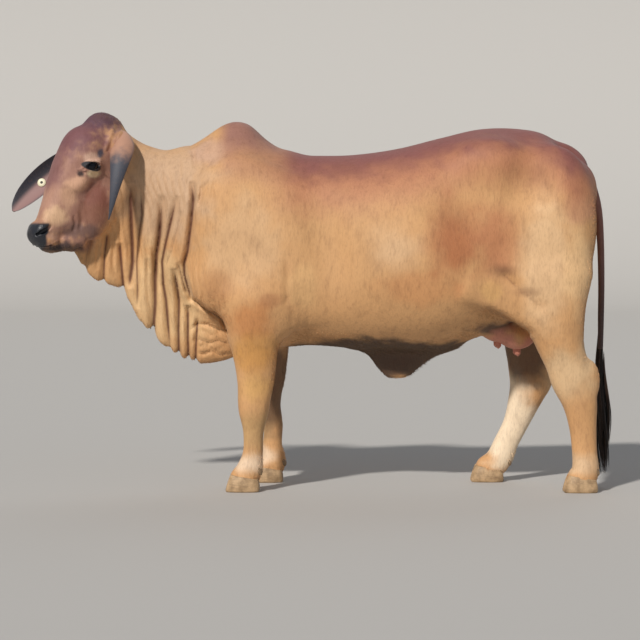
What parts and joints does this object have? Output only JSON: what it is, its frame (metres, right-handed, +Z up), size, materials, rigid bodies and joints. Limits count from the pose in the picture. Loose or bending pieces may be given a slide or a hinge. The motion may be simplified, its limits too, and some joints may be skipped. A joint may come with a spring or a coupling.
{
  "type": "brahman cow",
  "caption": "Life-size still figure of a standing polled red Brahman cow with hump, hanging ears, pleated dewlap and navel flap, head turned to its left.",
  "frame": {"origin": "middle of the bounding box, on the floor under the soles", "axes": "+X from head to tail, +Y to the animal's right, +Z up"},
  "size_m": [2.3554, 0.6416, 1.4657],
  "materials": {
    "coat": "short, close, glossy red-tan hair over skin",
    "dark_coat": "short, close red-brown hair over skin",
    "pale_coat": "short, close cream-tan hair over skin",
    "tail_coat": "short dark brown hair",
    "switch_hair": "long coarse near-black hair",
    "ear_skin": "short grey-brown hair, bare inside",
    "udder_skin": "soft pink bare skin with fine hair",
    "horn": "dull pale horn",
    "eye": "wet and glossy, dark brown",
    "tag_plastic": "plain pale yellow flexible plastic"
  },
  "bodies": {
    "root": {"head": "dark_coat", "hump": "dark_coat", "left_fore_leg_upper": "coat", "left_fore_leg_lower": "pale_coat", "right_fore_leg_upper": "coat", "right_fore_leg_lower": "pale_coat", "left_hind_leg_upper": "coat", "left_hind_leg_lower": "pale_coat", "right_hind_leg_upper": "coat", "right_hind_leg_lower": "pale_coat", "udder": "udder_skin", "navel_flap": "coat", "dewlap_throat": "coat", "dewlap_brisket": "coat", "neck": "coat", "torso": "coat", "left_ear": "ear_skin", "right_ear": "ear_skin", "ear_tag_front": "tag_plastic", "ear_tag_back": "tag_plastic", "left_eye": "eye", "right_eye": "eye", "left_fore_claw_left": "horn", "left_fore_dewclaw_left": "horn", "left_fore_claw_right": "horn", "left_fore_dewclaw_right": "horn", "right_fore_claw_left": "horn", "right_fore_dewclaw_left": "horn", "right_fore_claw_right": "horn", "right_fore_dewclaw_right": "horn", "left_hind_claw_left": "horn", "left_hind_dewclaw_left": "horn", "left_hind_claw_right": "horn", "left_hind_dewclaw_right": "horn", "right_hind_claw_left": "horn", "right_hind_dewclaw_left": "horn", "right_hind_claw_right": "horn", "right_hind_dewclaw_right": "horn", "tail": "tail_coat", "tail_switch": "switch_hair"}
  },
  "joints": []
}
